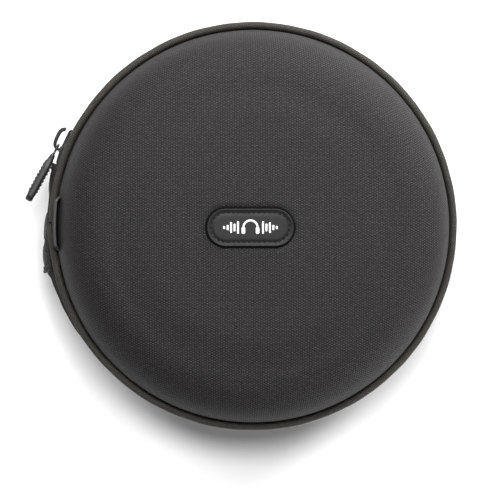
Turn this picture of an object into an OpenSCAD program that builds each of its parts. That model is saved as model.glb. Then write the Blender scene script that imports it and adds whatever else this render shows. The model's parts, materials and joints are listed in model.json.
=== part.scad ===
// Round clamshell carrying case for over-ear headphones, shown closed and lying on its base.
// +Z is up, the fabric hinge is at -X, and the origin is the centre of the flat that it rests on.
// A height with "rel" in its name is counted from the parting plane, outwards into one half.

/* [Case] */
// Diameter over the piping
case_d = 240; // [236:1:250]
// Height of each dome above its piping
dome_h = 35; // [33:0.5:40]
// Radius of the shoulder between the side and the crown
shoulder_r = 32; // [28:0.5:32.5]
// Diameter of the flat that the case rests on
rest_flat_d = 80; // [60:1:100]
// Width of the zip band, from piping centre to piping centre
zip_band = 24; // [24:0.5:28]

/* [Layers] */
// Thickness of the nylon outer cover
cover_t = 0.9; // [0.6:0.1:1.2]
// Thickness of the moulded foam shell
shell_t = 4; // [3:0.5:5]
// Thickness of the fleece lining
lining_t = 0.8; // [0.5:0.1:1.2]
// Diameter of the piping
piping_d = 4.2; // [3.8:0.1:4.2]
// Thickness of the fabric wrapped round the piping cord
piping_wrap_t = 0.65; // [0.4:0.05:0.8]

/* [Zip] */
// Polar angle at which the closed slider is parked
slider_at = 155.5; // [150:0.5:155.5]
// Angle that the slider travels through, from closed to open
slider_travel = 315; // [300:1:315]
// Length of the slider along the chain
slider_len = 14.9; // [12:0.1:15]
// Height of the crown that holds the puller, above the slider
crown_h = 6; // [5.5:0.1:6.5]
// Length of the rubber grip
grip_len = 31.5; // [26:0.5:34]
// Width of the rubber grip
grip_w = 9.5; // [7:0.5:9.5]
// Thickness of the rubber grip between its ribs
grip_t = 4.2; // [4:0.1:5]

/* [Hinge and tab] */
// Polar angle at which the hinge panel starts
hinge_from = 162.5; // [162.5:0.5:166]
// Polar angle at which the hinge panel ends
hinge_to = 192.8; // [188:0.1:194.2]
// Length of the rubber tab on the lid, above the hinge
tab_len = 32; // [20:1:40]
// Height of the rubber tab
tab_h = 9; // [5:0.1:10]

/* [Badge] */
// Length of the badge
badge_len = 50.1; // [44:0.1:56]
// Width of the badge
badge_w = 21.8; // [20:0.1:24]
// Distance of the badge from the crown's centre, towards the hinge
badge_shift = 3.2; // [0:0.1:5]

/* [Hidden] */

$fn = 180;
small_fn = 32;
gap = 0.05;

nylon = [0.24, 0.24, 0.23];
foam = [0.12, 0.12, 0.12];
fleece = [0.30, 0.30, 0.31];
welt = [0.30, 0.30, 0.30];
cord = [0.75, 0.74, 0.70];
tape = [0.16, 0.16, 0.16];
nylon_coil = [0.20, 0.20, 0.20];
black_metal = [0.13, 0.13, 0.13];
rubber = [0.22, 0.22, 0.22];
thread = [0.08, 0.08, 0.08];
white_print = [0.92, 0.92, 0.92];

// The dome is a spherical crown that runs into a round shoulder and ends upright at the piping.
piping_r = piping_d / 2;
band_rel = zip_band / 2;
ring_r = case_d / 2 - piping_r;
dome_r = ring_r - piping_r - gap;
shoulder_at_r = dome_r - shoulder_r;
crown_r = (pow(shoulder_at_r, 2) + pow(dome_h, 2) - pow(shoulder_r, 2)) / (2 * (dome_h - shoulder_r));
crown_rel = band_rel + dome_h;
crown_centre_rel = crown_rel - crown_r;
crown_angle = asin(shoulder_at_r / (crown_r - shoulder_r));
rest_sag = crown_r - sqrt(pow(crown_r, 2) - pow(rest_flat_d / 2, 2));
parting_z = crown_rel - rest_sag;
rim_rel = band_rel - piping_r - 0.1;
crown_steps = 10;
shoulder_steps = 14;

// Depths of the layers below the cover's outer face.
shell_d = cover_t + gap;
lining_d = shell_d + shell_t + gap;
inside_d = lining_d + lining_t;

// The rim binding lies under the layers' edges.
binding_t = 0.75;
binding_r0 = dome_r - inside_d + 1;
binding_r1 = dome_r - 0.35;

// The piping's two ends meet at the middle of the hinge.
piping_joint_at = 179;
piping_joint_gap = 1;

// The zip: a tape and a chain on each half, with a slit between the two chains.
tape_r0 = ring_r + 0.1;
tape_t = 0.6;
tape_rel0 = 1.2;
tape_rel1 = rim_rel - 0.1;
chain_r0 = tape_r0 + tape_t + gap;
chain_r1 = chain_r0 + 1.75;
chain_rel0 = 0.45;
chain_rel1 = 3.6;
slider_half_angle = asin(slider_len / 2 / tape_r0);
stop_angle = 1.5;
stop_play = 0.3;
stop_hinge_side_at = slider_at + slider_half_angle + stop_play;
stop_far_side_at = slider_at - slider_travel - slider_half_angle - stop_play;
tape_from = hinge_to - 360 + stop_play;
tape_to = hinge_from - stop_play;

// The slider: curved plates under and over the chain, so that it runs round the case.
under_r0 = tape_r0 - 1.8;
under_r1 = tape_r0 - 0.4;
over_r0 = chain_r1 + 0.3;
over_r1 = over_r0 + 1.5;
plate_half_w = 6.2;
plate_corner_r = 3;
flange_r0 = chain_r0 + 0.35;
flange_rel0 = 4.2;
flange_rel1 = 5.6;
web_half_w = 0.25;
web_from = 2.5;
web_to = 6;

// The crown: a springy hook over the slider, in which the puller's wire turns. Its far end is free.
arch_half_len = 7.15;
arch_w = 2.6;
arch_power = 3;
window_half_len = 5.15;
window_h = crown_h - 2.1;
window_power = 5;
free_end_gap = 2;
arch_steps = 24;

// The puller: a wire link with a rubber grip moulded over its far end.
pivot_t = 3.8;
pivot_r = over_r1 + 2.4;
puller_tilt = 4.4;
wire_r = 0.65;
wire_half_w = 2.25;
wire_len = 9;
grip_from = 6.2;
neck_len = 5;
neck_w = 7;
grip_corner_r = 3;
grip_edge_r = 1.6;
rib_from = 14;
rib_count = 8;
rib_pitch = 2.4;
rib_len = 1.3;
rib_h = 0.65;
rib_w = grip_w - 2.4;

// The hinge: a bulged fabric panel outside and a flat lining inside.
hinge_shift_y = -4;
hinge_t = 1.6;
hinge_edge_r = case_d / 2 + 0.6;
hinge_bulge = 3.4;
hinge_steps = 8;
hinge_panel_from = panel_angle(hinge_from);
hinge_panel_to = panel_angle(hinge_to);
hinge_lining_r0 = under_r0;
hinge_lining_t = 1;
stitch_r = 0.3;
stitch_row_rel = 7.6;
stitch_angle = 1.0;
stitch_pitch_angle = 1.5;
stitch_margin_angle = 1.2;

// The tab stands on the piping, close to the dome.
tab_t = 1.4;
tab_r0 = dome_r + 0.45;
tab_rel0 = band_rel + piping_r + 0.1;
tab_mid_y = 2;
tab_corner_r = 2.5;

// The badge: a rim, a stitched groove and a plateau that carries the print.
badge_rim_h = 1.7;
badge_groove_h = 0.9;
badge_plateau_h = 1.5;
badge_rim_w = 1.9;
badge_groove_w = 2.2;
print_t = 0.15;
badge_stitch_pitch = 2.9;
badge_stitch_len = 1.9;
badge_stitch_r = 0.22;

// The print: a headphone sign between two groups of level bars.
band_sign_r = 4.1;
band_sign_w = 0.9;
ear_w = 1.7;
ear_h = 3.6;
ear_y = -1.6;
bar_w = 1.1;
bar_pitch = 2;
bar_heights = [7.2, 4.4, 6.2, 3, 1.8];
bar_from = 7;

// The pocket is a guess: a net over half of the lid, with an elastic edge.
pocket_rel = 29;
pocket_t = 0.5;
pocket_margin = 2;
pocket_wall_r = sqrt(pow(shoulder_r - inside_d, 2) - pow(pocket_rel + pocket_t - band_rel, 2));
pocket_r = shoulder_at_r + pocket_wall_r - pocket_margin;
pocket_edge_r = 1.2;
pocket_edge_margin = 2.5;

// ---------- placing ----------

// The panel's own polar angle, about its shifted centre, of a point at polar angle a on the case.
function panel_angle(a) = (atan2(ring_r * sin(a) - hinge_shift_y, ring_r * cos(a)) + 360) % 360;

module in_lid()
    translate([0, 0, parting_z])
        children();

module in_base()
    translate([0, 0, parting_z])
        mirror([0, 0, 1])
            children();

module at_slider()
    in_lid()
        rotate([0, 0, slider_at])
            children();

// Puller frame: +X runs along the grip and -Y faces outwards.
module at_puller()
    at_slider()
        translate([pivot_r, pivot_t, 0])
            rotate([0, 0, 90 - puller_tilt])
                children();

// Turns a section drawn in the (radius, height) plane from one polar angle to another.
module sweep(from_a, to_a)
    rotate([0, 0, from_a])
        rotate_extrude(angle = to_a - from_a)
            children();

module section(r0, r1, rel0, rel1)
    translate([r0, rel0])
        square([r1 - r0, rel1 - rel0]);

module rounded_rect(len, wid, r) {
    square([len - 2 * r, wid], center = true);
    square([len, wid - 2 * r], center = true);
    for (x = [-1, 1])
        for (y = [-1, 1])
            translate([x * (len / 2 - r), y * (wid / 2 - r)])
                circle(r, $fn = small_fn);
}

// ---------- domes ----------

// Points from the axis to the rim, at depth d below the outer face. cut flattens the crown.
function dome_outline(d, cut) =
    let (r = crown_r - d, s = shoulder_r - d, a0 = acos((r - cut) / r))
    concat(
        cut > 0 ? [[0, crown_centre_rel + r - cut]] : [],
        [for (i = [0 : crown_steps])
            let (a = a0 + (crown_angle - a0) * i / crown_steps)
            [r * sin(a), crown_centre_rel + r * cos(a)]],
        [for (i = [1 : shoulder_steps])
            let (a = crown_angle + (90 - crown_angle) * i / shoulder_steps)
            [shoulder_at_r + s * sin(a), band_rel + s * cos(a)]],
        [[dome_r - d, rim_rel]]
    );

function backwards(points) = [for (i = [len(points) - 1 : -1 : 0]) points[i]];

module dome_layer(d_out, d_in, cut)
    rotate_extrude()
        polygon(concat(dome_outline(d_out, cut), backwards(dome_outline(d_in, cut))));

module rim_binding()
    rotate_extrude()
        section(binding_r0, binding_r1, rim_rel - gap - binding_t, rim_rel - gap);

module welt_ring()
    sweep(piping_joint_at + piping_joint_gap / 2, piping_joint_at + 360 - piping_joint_gap / 2)
        translate([ring_r, band_rel])
            children();

module piping_skin()
    welt_ring()
        difference() {
            circle(piping_r, $fn = small_fn);
            circle(piping_r - piping_wrap_t, $fn = small_fn);
        }

module piping_core()
    welt_ring()
        circle(piping_r - piping_wrap_t - gap, $fn = small_fn);

module base_cover()
    color(nylon)
        in_base()
            dome_layer(0, cover_t, rest_sag);

module base_shell()
    color(foam)
        in_base()
            dome_layer(shell_d, shell_d + shell_t, rest_sag);

module base_lining()
    color(fleece)
        in_base()
            dome_layer(lining_d, inside_d, rest_sag);

module base_piping()
    color(welt)
        in_base()
            piping_skin();

module base_piping_cord()
    color(cord)
        in_base()
            piping_core();

module base_binding()
    color(tape)
        in_base()
            rim_binding();

module lid_cover()
    color(nylon)
        in_lid()
            dome_layer(0, cover_t, 0);

module lid_shell()
    color(foam)
        in_lid()
            dome_layer(shell_d, shell_d + shell_t, 0);

module lid_lining()
    color(fleece)
        in_lid()
            dome_layer(lining_d, inside_d, 0);

module lid_piping()
    color(welt)
        in_lid()
            piping_skin();

module lid_piping_cord()
    color(cord)
        in_lid()
            piping_core();

module lid_binding()
    color(tape)
        in_lid()
            rim_binding();

module pocket_mesh()
    color(tape)
        in_lid()
            translate([0, 0, pocket_rel])
                sweep(180, 360)
                    square([pocket_r, pocket_t]);

module pocket_binding()
    color(thread)
        in_lid()
            translate([0, pocket_edge_r + gap, pocket_rel + pocket_t / 2])
                rotate([0, 90, 0])
                    cylinder(
                        h = 2 * (pocket_r - pocket_edge_margin), r = pocket_edge_r,
                        center = true, $fn = small_fn
                    );

// ---------- zip ----------

module zip_tape()
    sweep(tape_from, tape_to)
        section(tape_r0, tape_r0 + tape_t, tape_rel0, tape_rel1);

module zip_chain()
    sweep(stop_far_side_at, stop_hinge_side_at)
        section(chain_r0, chain_r1, chain_rel0, chain_rel1);

module zip_stops()
    for (a = [stop_far_side_at - stop_angle - gap, stop_hinge_side_at + gap])
        sweep(a, a + stop_angle)
            section(chain_r0, chain_r1 + 0.3, chain_rel0, chain_rel1 + 0.3);

module base_zip_tape()
    color(tape)
        in_base()
            zip_tape();

module base_zip_coil()
    color(nylon_coil)
        in_base()
            zip_chain();

module base_zip_stops()
    color(black_metal)
        in_base()
            zip_stops();

module lid_zip_tape()
    color(tape)
        in_lid()
            zip_tape();

module lid_zip_coil()
    color(nylon_coil)
        in_lid()
            zip_chain();

module lid_zip_stops()
    color(black_metal)
        in_lid()
            zip_stops();

// Outline of the slider as seen from outside, as a prism along the radius.
module slider_prism()
    translate([under_r0 - 1, 0, 0])
        rotate([90, 0, 90])
            linear_extrude(over_r1 - under_r0 + 2)
                rounded_rect(slider_len, 2 * plate_half_w, plate_corner_r);

module slider_body()
    color(black_metal)
        at_slider() {
            intersection() {
                slider_prism();
                sweep(-2 * slider_half_angle, 2 * slider_half_angle) {
                    section(under_r0, under_r1, -plate_half_w, plate_half_w);
                    section(over_r0, over_r1, -plate_half_w, plate_half_w);
                    section(flange_r0, over_r0, flange_rel0, flange_rel1);
                    section(flange_r0, over_r0, -flange_rel1, -flange_rel0);
                }
            }
            translate([under_r1 - 0.3, web_from, -web_half_w])
                cube([over_r0 - under_r1 + 0.6, web_to - web_from, 2 * web_half_w]);
        }

function arch_outline(half_len, height, power) =
    [for (i = [0 : arch_steps])
        let (a = 180 * i / arch_steps, c = abs(cos(a)), s = sin(a))
        [half_len * sign(cos(a)) * pow(c, 2 / power), height * pow(s, 2 / power)]];

module slider_crown()
    color(black_metal)
        at_slider()
            translate([over_r1 + gap, 0, -arch_w / 2])
                linear_extrude(arch_w)
                    rotate(-90)
                        difference() {
                            polygon(arch_outline(arch_half_len, crown_h, arch_power));
                            polygon(arch_outline(window_half_len, window_h, window_power));
                            translate([0, -1])
                                square([2 * arch_half_len, free_end_gap + 1]);
                        }

// ---------- puller ----------

module link_wire(r) {
    for (s = [0, wire_len])
        translate([s, 0, 0])
            cylinder(h = 2 * wire_half_w, r = r, center = true, $fn = small_fn);
    for (z = [-wire_half_w, wire_half_w])
        translate([0, 0, z]) {
            rotate([0, 90, 0])
                cylinder(h = wire_len, r = r, $fn = small_fn);
            for (s = [0, wire_len])
                translate([s, 0, 0])
                    sphere(r, $fn = small_fn);
        }
}

module puller_link()
    color(black_metal)
        at_puller()
            link_wire(wire_r);

module grip_plan() {
    translate([grip_from + neck_len + (grip_len - neck_len) / 2, 0])
        rounded_rect(grip_len - neck_len, grip_w, grip_corner_r);
    translate([grip_from + neck_len, 0])
        rounded_rect(2 * neck_len, neck_w, 1.5);
}

module grip_block()
    intersection() {
        translate([grip_from + grip_len / 2, 0, 0])
            linear_extrude(grip_w + 2, center = true)
                rounded_rect(grip_len, grip_t, grip_edge_r);
        rotate([90, 0, 0])
            linear_extrude(grip_t + 2, center = true)
                grip_plan();
    }

module grip_ribs()
    for (i = [0 : rib_count - 1])
        translate([rib_from + i * rib_pitch, 0, 0])
            cube([rib_len, grip_t + 2 * rib_h, rib_w], center = true);

module puller_grip()
    color(rubber)
        at_puller()
            difference() {
                union() {
                    grip_block();
                    grip_ribs();
                }
                link_wire(wire_r + gap);
            }

// ---------- hinge and tab ----------

function hinge_face(rel, depth) = hinge_edge_r - depth + hinge_bulge * cos(90 * rel / tape_rel1);

module hinge_panel()
    color(nylon)
        in_lid()
            translate([0, hinge_shift_y, 0])
                sweep(hinge_panel_from, hinge_panel_to)
                    polygon(concat(
                        [for (i = [-hinge_steps : hinge_steps])
                            let (rel = tape_rel1 * i / hinge_steps)
                            [hinge_face(rel, 0), rel]],
                        [for (i = [hinge_steps : -1 : -hinge_steps])
                            let (rel = tape_rel1 * i / hinge_steps)
                            [hinge_face(rel, hinge_t), rel]]
                    ));

module hinge_lining()
    color(fleece)
        in_lid()
            sweep(hinge_from, hinge_to)
                section(hinge_lining_r0, hinge_lining_r0 + hinge_lining_t, -tape_rel1, tape_rel1);

module hinge_stitching()
    color(thread)
        in_lid()
            translate([0, hinge_shift_y, 0])
                for (rel = [-stitch_row_rel, stitch_row_rel])
                    for (a = [hinge_panel_from + stitch_margin_angle : stitch_pitch_angle : hinge_panel_to - 2])
                        sweep(a, a + stitch_angle)
                            translate([hinge_face(rel, 0) + stitch_r + 0.1, rel])
                                circle(stitch_r, $fn = 16);

module grip_tab()
    color(rubber)
        in_lid()
            intersection() {
                sweep(160, 200)
                    section(tab_r0, tab_r0 + tab_t, tab_rel0 - 1, tab_rel0 + tab_h + 1);
                translate([-case_d, tab_mid_y, tab_rel0 + tab_h / 2])
                    rotate([90, 0, 90])
                        linear_extrude(case_d)
                            rounded_rect(tab_len, tab_h, tab_corner_r);
            }

// ---------- badge ----------

module stadium(len, wid) {
    square([len - wid, wid], center = true);
    for (x = [-1, 1])
        translate([x * (len - wid) / 2, 0])
            circle(wid / 2, $fn = 96);
}

// The badge's outline, drawn in by inset.
module badge_outline(inset)
    translate([-badge_shift, 0])
        stadium(badge_len - 2 * inset, badge_w - 2 * inset);

// The part of the crown's skin between two heights above it, within a flat outline.
module on_crown(low, high)
    intersection() {
        dome_layer(-high, -low, 0);
        translate([0, 0, crown_rel - 5])
            linear_extrude(12)
                children();
    }

module badge()
    color(rubber)
        in_lid() {
            on_crown(gap, badge_groove_h)
                badge_outline(0);
            on_crown(badge_groove_h, badge_rim_h)
                difference() {
                    badge_outline(0);
                    badge_outline(badge_rim_w);
                }
            on_crown(badge_groove_h, badge_plateau_h)
                badge_outline(badge_rim_w + badge_groove_w);
        }

// A point on a stadium's outline: [x, y, direction], at distance s along it.
function stadium_point(s, run, r) =
    let (turn = PI * r, a = 180 / turn)
    s < run ? [-run / 2 + s, -r, 0]
    : s < run + turn ? [run / 2 + r * sin((s - run) * a), -r * cos((s - run) * a), (s - run) * a]
    : s < 2 * run + turn ? [run / 2 - (s - run - turn), r, 180]
    : let (b = (s - 2 * run - turn) * a) [-run / 2 - r * sin(b), r * cos(b), 180 + b];

function crown_height(x, y) = crown_centre_rel + sqrt(pow(crown_r, 2) - x * x - y * y);

module badge_stitching() {
    path_r = badge_w / 2 - badge_rim_w - badge_groove_w / 2;
    run = badge_len - badge_w;
    around = 2 * run + 2 * PI * path_r;
    count = floor(around / badge_stitch_pitch);
    color(thread)
        in_lid()
            for (i = [0 : count - 1]) {
                p = stadium_point(i * around / count, run, path_r);
                x = p[0] - badge_shift;
                translate([x, p[1], crown_height(x, p[1]) + badge_groove_h + 2 * badge_stitch_r])
                    rotate([0, 90, p[2]])
                        cylinder(h = badge_stitch_len, r = badge_stitch_r, center = true, $fn = 16);
            }
}

module headphone_sign() {
    difference() {
        circle(band_sign_r + band_sign_w / 2, $fn = 64);
        circle(band_sign_r - band_sign_w / 2, $fn = 64);
        translate([-2 * band_sign_r, -4 * band_sign_r])
            square([4 * band_sign_r, 4 * band_sign_r]);
    }
    for (x = [-1, 1])
        translate([x * band_sign_r, ear_y])
            rounded_rect(ear_w, ear_h, 0.6);
}

module badge_print()
    color(white_print)
        in_lid()
            on_crown(badge_plateau_h + gap, badge_plateau_h + gap + print_t)
                translate([-badge_shift, 0]) {
                    headphone_sign();
                    for (x = [-1, 1])
                        for (i = [0 : len(bar_heights) - 1])
                            translate([x * (bar_from + i * bar_pitch), 0])
                                square([bar_w, bar_heights[i]], center = true);
                }

base_cover();
base_shell();
base_lining();
base_piping();
base_piping_cord();
base_binding();
base_zip_tape();
base_zip_coil();
base_zip_stops();
lid_cover();
lid_shell();
lid_lining();
lid_piping();
lid_piping_cord();
lid_binding();
lid_zip_tape();
lid_zip_coil();
lid_zip_stops();
pocket_mesh();
pocket_binding();
hinge_panel();
hinge_lining();
hinge_stitching();
grip_tab();
badge();
badge_print();
badge_stitching();
slider_body();
slider_crown();
puller_link();
puller_grip();
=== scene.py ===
"""Looks of the round headphone case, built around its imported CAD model.

Every piece is worked out in millimetres in the CAD frame, and turned into metres when its mesh is made.
A height called "rel" is counted from the parting plane outwards, into the lid or into the base.
"""
import json
import math

import bmesh
import bpy
import numpy as np
from mathutils import Matrix, Vector
from mathutils.bvhtree import BVHTree


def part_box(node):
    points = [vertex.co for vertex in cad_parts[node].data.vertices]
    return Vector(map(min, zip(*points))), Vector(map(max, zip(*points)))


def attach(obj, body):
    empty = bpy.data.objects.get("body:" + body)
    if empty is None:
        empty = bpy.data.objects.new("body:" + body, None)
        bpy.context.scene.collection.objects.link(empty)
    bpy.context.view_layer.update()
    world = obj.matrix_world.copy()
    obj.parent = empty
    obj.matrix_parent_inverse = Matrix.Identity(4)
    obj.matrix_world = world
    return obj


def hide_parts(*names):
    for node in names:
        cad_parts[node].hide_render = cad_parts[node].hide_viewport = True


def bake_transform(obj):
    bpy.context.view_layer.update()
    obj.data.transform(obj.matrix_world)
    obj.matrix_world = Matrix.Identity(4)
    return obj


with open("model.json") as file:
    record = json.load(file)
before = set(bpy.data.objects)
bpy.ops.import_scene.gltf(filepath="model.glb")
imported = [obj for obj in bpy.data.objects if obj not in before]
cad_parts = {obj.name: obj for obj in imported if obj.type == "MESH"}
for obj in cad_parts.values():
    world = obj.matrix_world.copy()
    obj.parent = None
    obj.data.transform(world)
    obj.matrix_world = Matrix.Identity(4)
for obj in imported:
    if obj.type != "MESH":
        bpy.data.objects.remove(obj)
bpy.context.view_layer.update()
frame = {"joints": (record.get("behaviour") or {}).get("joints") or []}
MM = 0.001
TAU = 2 * math.pi
HALVES = (("lid", True), ("base", False))


# ---------- sizes, from the frame ----------

def box_mm(node):
    low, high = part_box(node)
    return np.array(low) / MM, np.array(high) / MM


JOINTS = {joint["name"]: joint for joint in frame["joints"]}
PARTING = JOINTS["slider_travel"]["pos_m"][2] / MM

cover_low, cover_high = box_mm("lid_cover")
DOME_R = cover_high[0]
CROWN_REL = cover_high[2] - PARTING
RIM_REL = cover_low[2] - PARTING
# The base's crown is flattened by this much, where the case stands on the floor.
REST_SAG = CROWN_REL - PARTING
LAYER_GAP = 0.05
LINING_T = 0.8
SHELL_D, LINING_D = [DOME_R - box_mm(node)[1][0] for node in ("lid_shell", "lid_lining")]
COVER_T = SHELL_D - LAYER_GAP
INSIDE_D = LINING_D + LINING_T

piping_low, piping_high = box_mm("lid_piping")
PIPING_R = (piping_high[2] - piping_low[2]) / 2
BAND_REL = (piping_high[2] + piping_low[2]) / 2 - PARTING
RING_R = piping_high[0] - PIPING_R

TAPE_T = 0.6
tape_low, tape_high = box_mm("lid_zip_tape")
TAPE_R1 = tape_high[0]
TAPE_R0 = TAPE_R1 - TAPE_T
TAPE_REL0, TAPE_REL1 = tape_low[2] - PARTING, tape_high[2] - PARTING
chain_high = box_mm("lid_zip_coil")[1]
CHAIN_R0, CHAIN_R1 = TAPE_R1 + LAYER_GAP, chain_high[0]
CHAIN_REL1 = chain_high[2] - PARTING

lining_low, lining_high = box_mm("hinge_lining")
HINGE_FROM = 180 - math.degrees(math.asin(lining_high[1] / -lining_low[0]))
HINGE_TO = 180 - math.degrees(math.asin(lining_low[1] / -lining_low[0]))
HINGE_SHIFT_Y = -4.0
HINGE_BULGE = 3.4
HINGE_EDGE_R = -box_mm("hinge_panel")[0][0] - HINGE_BULGE


def about_panel_centre(degrees):
    """The angle about the panel's own centre of the point at this polar angle on the case."""
    a = math.radians(degrees)
    return math.degrees(math.atan2(RING_R * math.sin(a) - HINGE_SHIFT_Y, RING_R * math.cos(a))) % 360


PANEL_FROM, PANEL_TO = about_panel_centre(HINGE_FROM), about_panel_centre(HINGE_TO)

PIVOT = np.array(JOINTS["puller_swing"]["pos_m"]) / MM
# The puller's pivot is this far along the slider from its middle.
PIVOT_T = 3.8
PIVOT_R = math.sqrt(PIVOT[0] ** 2 + PIVOT[1] ** 2 - PIVOT_T ** 2)
SLIDER_AT = math.degrees(math.atan2(PIVOT[1], PIVOT[0])) - math.degrees(math.atan2(PIVOT_T, PIVOT_R))
SLIDER_LEN = 14.9
SLIDER_HALF_ANGLE = math.degrees(math.asin(SLIDER_LEN / 2 / TAPE_R0))
STOP_PLAY = 0.3
STOP_ANGLE = 1.5
ZIP_TO = SLIDER_AT + SLIDER_HALF_ANGLE + STOP_PLAY
ZIP_FROM = SLIDER_AT + JOINTS["slider_travel"]["range_deg"][0] - SLIDER_HALF_ANGLE - STOP_PLAY

SHOULDER_R = 32.0
SHOULDER_AT_R = DOME_R - SHOULDER_R
DOME_H = CROWN_REL - BAND_REL
CROWN_R = (SHOULDER_AT_R ** 2 + DOME_H ** 2 - SHOULDER_R ** 2) / (2 * (DOME_H - SHOULDER_R))
CROWN_CENTRE_REL = CROWN_REL - CROWN_R
CROWN_ANGLE = math.asin(SHOULDER_AT_R / (CROWN_R - SHOULDER_R))


# ---------- meshes ----------

def smoothstep(x):
    x = np.clip(x, 0, 1)
    return x * x * (3 - 2 * x)


def unit(vectors, tiny=0.0):
    """The vectors along the last axis, at length 1. tiny is for vectors that may be 0 long."""
    return vectors / (np.linalg.norm(vectors, axis=-1, keepdims=True) + tiny)


def on_circle(radius, angle):
    return np.stack([radius * np.cos(angle), radius * np.sin(angle)], -1)


def turns(count):
    """Angles round a full circle, in radians."""
    return np.linspace(0, TAU, count, endpoint=False)


def new_object(name, data):
    made = bpy.data.objects.new(name, data)
    bpy.context.scene.collection.objects.link(made)
    return made


def in_half(points, lid):
    """Points whose z is a rel height, moved into the lid or mirrored into the base."""
    out = np.array(points, float)
    out[..., 2] = PARTING + (out[..., 2] if lid else -out[..., 2])
    return out


class Piece:
    """Grids of points in mm, with the cloth's own two directions in mm as their UV, made into one object."""

    def __init__(self):
        self.points, self.faces, self.uvs, self.count = [], [], [], 0

    def grid(self, points, uv, wrap_u=False, wrap_v=False, caps=False):
        """Quads over points[u, v]. uv has one more row or column than points where that way wraps."""
        points = np.asarray(points, float)
        uv = np.asarray(uv, float)
        n, m = points.shape[:2]
        rows, columns = np.arange(n if wrap_u else n - 1), np.arange(m if wrap_v else m - 1)
        i, j = np.meshgrid(rows, columns, indexing="ij")
        corners = [(0, 0), (1, 0), (1, 1), (0, 1)]
        quads = np.stack([((i + a) % n) * m + (j + b) % m for a, b in corners], -1).reshape(-1, 4)
        self.faces += (quads + self.count).tolist()
        self.uvs += np.stack([uv[i + a, j + b] for a, b in corners], -2).reshape(-1, 2).tolist()
        if caps:
            for row in (0, n - 1):
                self.faces.append([self.count + row * m + k for k in range(m)])
                self.uvs += uv[row, :m].tolist()
        self.points.append(points.reshape(-1, 3))
        self.count += n * m

    def make(self, name, material, body=None, *nodes, sharp=50):
        """One object, which rides on the body and stands for the CAD nodes."""
        mesh = bpy.data.meshes.new(name)
        mesh.from_pydata((np.concatenate(self.points) * MM).tolist(), [], self.faces)
        layer = mesh.uv_layers.new(name="cloth")
        layer.data.foreach_set("uv", np.array(self.uvs, np.float32).ravel())
        work = bmesh.new()
        work.from_mesh(mesh)
        bmesh.ops.recalc_face_normals(work, faces=work.faces)
        work.to_mesh(mesh)
        work.free()
        mesh.shade_smooth()
        mesh.set_sharp_from_angle(angle=math.radians(sharp))
        mesh.materials.append(MATERIALS[material])
        piece = new_object(name, mesh)
        if body:
            ride(piece, body, *nodes)
        return piece


def ride(piece, body, *nodes):
    """The piece moves with body, and stands for these CAD nodes."""
    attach(piece, body)
    if nodes:
        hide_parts(*nodes)


def across_hinge(piece, node):
    """The piece keeps its place, baked into its mesh, and stands for the node."""
    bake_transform(piece)
    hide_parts(node)


def polar(radius, degrees, rel):
    """Points at these radii, polar angles and heights."""
    a = np.radians(degrees)
    return np.stack(np.broadcast_arrays(radius * np.cos(a), radius * np.sin(a), rel), -1)


def rounded_section(r0, r1, rel0, rel1, fillet, steps=3):
    """A closed loop of (radius, rel) round a rectangle with round corners."""
    loop = []
    for cr, cz, start in ((r1 - fillet, rel1 - fillet, 0), (r0 + fillet, rel1 - fillet, 90),
                          (r0 + fillet, rel0 + fillet, 180), (r1 - fillet, rel0 + fillet, 270)):
        for k in range(steps + 1):
            a = math.radians(start + 90 * k / steps)
            loop.append((cr + fillet * math.cos(a), cz + fillet * math.sin(a)))
    return np.array(loop)


def loop_lengths(loop):
    """Distance along a closed loop of points, with one more value than points."""
    steps = np.linalg.norm(np.roll(loop, -1, 0) - loop, axis=1)
    return np.concatenate([[0], np.cumsum(steps)])


def ring_sweep(piece, from_a, to_a, count, section, lid, shift=None):
    """Sweeps a closed (radius, rel) section round the case. shift(angles, rel) moves it outwards and up."""
    angles = np.linspace(from_a, to_a, count)
    radius = np.repeat(section[None, :, 0], count, 0)
    rel = np.repeat(section[None, :, 1], count, 0)
    if shift is not None:
        out, up = shift(angles[:, None], rel)
        radius, rel = radius + out, rel + up
    points = in_half(polar(radius, angles[:, None], rel), lid)
    round_trip = np.isclose((to_a - from_a) % 360, 0)
    along = np.radians(angles - from_a) * section[:, 0].mean()
    across = loop_lengths(section)
    uv = np.stack(np.meshgrid(along, across, indexing="ij"), -1)
    if round_trip:
        points = points[:-1]
    piece.grid(points, uv, wrap_u=round_trip, wrap_v=True, caps=not round_trip)


def tube(piece, path, section, up, closed=False):
    """Sweeps a closed section along a path. up keeps the section from turning: a vector, or one per point."""
    path = np.asarray(path, float)
    ahead = np.roll(path, -1, 0) - np.roll(path, 1, 0) if closed else np.gradient(path, axis=0)
    tangent = unit(ahead)
    side = unit(np.cross(tangent, np.broadcast_to(up, path.shape)))
    over = np.cross(side, tangent)
    section = np.asarray(section, float)
    if section.ndim == 2:
        section = np.broadcast_to(section, (len(path),) + section.shape)
    points = path[:, None] + side[:, None] * section[..., :1] + over[:, None] * section[..., 1:]
    along = loop_lengths(path)[:len(path) + closed]
    uv = np.stack(np.meshgrid(along, loop_lengths(section[0]), indexing="ij"), -1)
    piece.grid(points, uv, wrap_u=closed, wrap_v=True, caps=not closed)


def circle(radius, count):
    return on_circle(radius, turns(count))


def squared(x, power):
    """A sine or cosine, made squarer by a power above 2."""
    return np.sign(x) * abs(x) ** (2 / power)


def oval(half_w, half_h, count, power=2.0):
    """A superellipse; power 2 is an ellipse, and more is squarer."""
    a = turns(count)
    return np.stack([half_w * squared(np.cos(a), power), half_h * squared(np.sin(a), power)], -1)


def rounded_rect(length, width, corner, steps=5):
    return rounded_section(-length / 2, length / 2, -width / 2, width / 2, corner, steps)


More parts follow.
